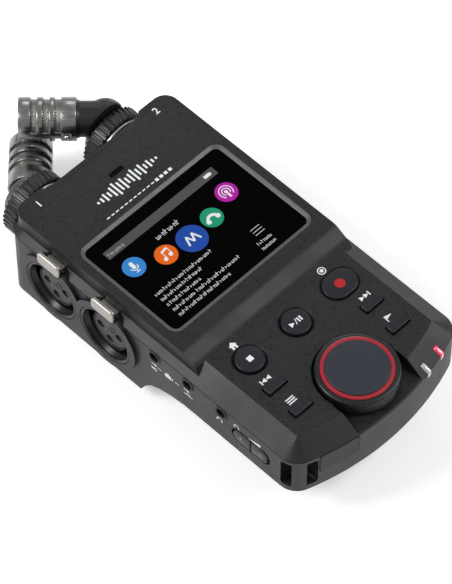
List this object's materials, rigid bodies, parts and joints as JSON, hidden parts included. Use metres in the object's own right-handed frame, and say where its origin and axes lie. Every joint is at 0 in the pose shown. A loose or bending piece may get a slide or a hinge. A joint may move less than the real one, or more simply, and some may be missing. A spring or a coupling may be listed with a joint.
{
  "type": "portable field recorder",
  "caption": "Handheld digital audio recorder with crossed swivelling microphones, balanced inputs, colour screen, transport keys and a data dial.",
  "frame": {"origin": "mouth of the tripod thread in the back face, straight behind the centre of the screen", "axes": "+X to the right of the screen, +Y towards the microphones, +Z out of the screen; the back face lies in z = 0"},
  "size_m": [0.074, 0.1664, 0.038],
  "materials": {
    "case_plastic": "fine textured black moulding",
    "cover_rubber": "soft matte black",
    "screw_steel": "blackened steel",
    "cell_can": "satin sleeve",
    "contact_steel": "nickel plated",
    "display_glass": "polished black window",
    "display_panel": "satin",
    "smoked_lens": "polished",
    "key_plastic": "satin black",
    "board": "solder mask",
    "dial_plastic": "knurled black",
    "dial_cap_plastic": "smooth satin dark grey",
    "red_ring": "gloss red",
    "clear_pipe": "clear light pipe",
    "red_pipe": "red light pipe",
    "socket_plastic": "satin black",
    "insert_plastic": "matte dark grey",
    "contact_brass": "bright",
    "latch_steel": "satin nickel",
    "mic_plastic": "satin black",
    "mic_metal": "satin anodised",
    "mic_mesh": "woven wire"
  },
  "bodies": {
    "case": {"front_case": "case_plastic", "rear_case": "case_plastic", "case_screws": "screw_steel", "battery_cells": "cell_can", "battery_contacts": "contact_steel", "display_window": "display_glass", "display_module": "display_panel", "status_window": "smoked_lens", "main_board": "board", "control_board": "board", "dial_encoder": "socket_plastic", "peak_light_pipe": "clear_pipe", "record_light_pipe": "red_pipe", "xlr_upper_shell": "socket_plastic", "xlr_upper_insert": "insert_plastic", "xlr_upper_contacts": "contact_brass", "xlr_lower_shell": "socket_plastic", "xlr_lower_insert": "insert_plastic", "xlr_lower_contacts": "contact_brass", "ext_in_jack": "socket_plastic", "line_out_jack": "socket_plastic", "headphone_jack": "socket_plastic", "side_switches": "socket_plastic", "usb_port": "contact_steel", "card_socket": "contact_steel", "tripod_bush": "contact_brass", "speaker": "socket_plastic", "mic_right_axle": "mic_plastic", "mic_left_axle": "mic_plastic"},
    "home_stop_button": {"home_stop_button": "key_plastic"},
    "play_pause_button": {"play_pause_button": "key_plastic"},
    "record_button": {"record_button": "key_plastic"},
    "rewind_button": {"rewind_button": "key_plastic"},
    "forward_button": {"forward_button": "key_plastic"},
    "menu_button": {"menu_button": "key_plastic"},
    "mark_button": {"mark_button": "key_plastic"},
    "dial": {"dial_body": "dial_plastic", "dial_cap": "dial_cap_plastic", "dial_ring": "red_ring", "dial_shaft": "contact_steel"},
    "volume_up_key": {"volume_up_key": "key_plastic"},
    "volume_down_key": {"volume_down_key": "key_plastic"},
    "xlr_upper_latch": {"xlr_upper_latch": "latch_steel"},
    "xlr_lower_latch": {"xlr_lower_latch": "latch_steel"},
    "power_slider": {"power_slider": "key_plastic"},
    "battery_cover": {"battery_cover": "case_plastic"},
    "adapter_cover": {"adapter_cover": "cover_rubber"},
    "card_door": {"card_door": "cover_rubber"},
    "mic_right": {"mic_right_plate": "mic_metal", "mic_right_collar": "mic_plastic", "mic_right_arm": "mic_plastic", "mic_right_sleeve": "mic_metal", "mic_right_mesh": "mic_mesh", "mic_right_capsule": "socket_plastic"},
    "mic_left": {"mic_left_plate": "mic_metal", "mic_left_collar": "mic_plastic", "mic_left_arm": "mic_plastic", "mic_left_sleeve": "mic_metal", "mic_left_mesh": "mic_mesh", "mic_left_capsule": "socket_plastic"}
  },
  "joints": [
    {"name": "home_stop_press", "type": "slide", "parent": "case", "child": "home_stop_button", "axis": [0, 0, -1], "range_m": [0, 0.00035], "stiffness_N_per_m": 4000},
    {"name": "play_pause_press", "type": "slide", "parent": "case", "child": "play_pause_button", "axis": [0, 0, -1], "range_m": [0, 0.00035], "stiffness_N_per_m": 4000},
    {"name": "record_press", "type": "slide", "parent": "case", "child": "record_button", "axis": [0, 0, -1], "range_m": [0, 0.00035], "stiffness_N_per_m": 4000},
    {"name": "rewind_press", "type": "slide", "parent": "case", "child": "rewind_button", "axis": [0, 0, -1], "range_m": [0, 0.00035], "stiffness_N_per_m": 4000},
    {"name": "forward_press", "type": "slide", "parent": "case", "child": "forward_button", "axis": [0, 0, -1], "range_m": [0, 0.00035], "stiffness_N_per_m": 4000},
    {"name": "menu_press", "type": "slide", "parent": "case", "child": "menu_button", "axis": [0, 0, -1], "range_m": [0, 0.00035], "stiffness_N_per_m": 4000},
    {"name": "mark_press", "type": "slide", "parent": "case", "child": "mark_button", "axis": [0, 0, -1], "range_m": [0, 0.00035], "stiffness_N_per_m": 4000},
    {"name": "dial_turn", "type": "hinge", "parent": "case", "child": "dial", "pos_m": [0, -0.0684, 0.034], "axis": [0, 0, 1], "continuous": true},
    {"name": "volume_up_press", "type": "slide", "parent": "case", "child": "volume_up_key", "axis": [1, 0, 0], "range_m": [0, 0.00035], "stiffness_N_per_m": 3000},
    {"name": "volume_down_press", "type": "slide", "parent": "case", "child": "volume_down_key", "axis": [1, 0, 0], "range_m": [0, 0.00035], "stiffness_N_per_m": 3000},
    {"name": "xlr_upper_release", "type": "slide", "parent": "case", "child": "xlr_upper_latch", "axis": [1, 0, 0], "range_m": [0, 0.0012], "stiffness_N_per_m": 2500},
    {"name": "xlr_lower_release", "type": "slide", "parent": "case", "child": "xlr_lower_latch", "axis": [1, 0, 0], "range_m": [0, 0.0012], "stiffness_N_per_m": 2500},
    {"name": "power_slide", "type": "slide", "parent": "case", "child": "power_slider", "axis": [0, -1, 0], "range_m": [0, 0.003], "stiffness_N_per_m": 400},
    {"name": "battery_cover_slide", "type": "slide", "parent": "case", "child": "battery_cover", "axis": [0, -1, 0], "range_m": [0, 0.004]},
    {"name": "adapter_cover_pull", "type": "slide", "parent": "case", "child": "adapter_cover", "axis": [0, -1, 0], "range_m": [0, 0.006]},
    {"name": "card_door_hinge", "type": "hinge", "parent": "case", "child": "card_door", "pos_m": [0.0356, 0.031, 0.0246], "axis": [0, 1, 0], "range_deg": [0, 110]},
    {"name": "mic_right_swivel", "type": "hinge", "parent": "case", "child": "mic_right", "pos_m": [0.0176, 0.0546, 0.0194], "axis": [0, 1, 0], "range_deg": [0, 180]},
    {"name": "mic_left_swivel", "type": "hinge", "parent": "case", "child": "mic_left", "pos_m": [-0.0176, 0.0546, 0.0194], "axis": [0, 1, 0], "range_deg": [0, 180]}
  ]
}
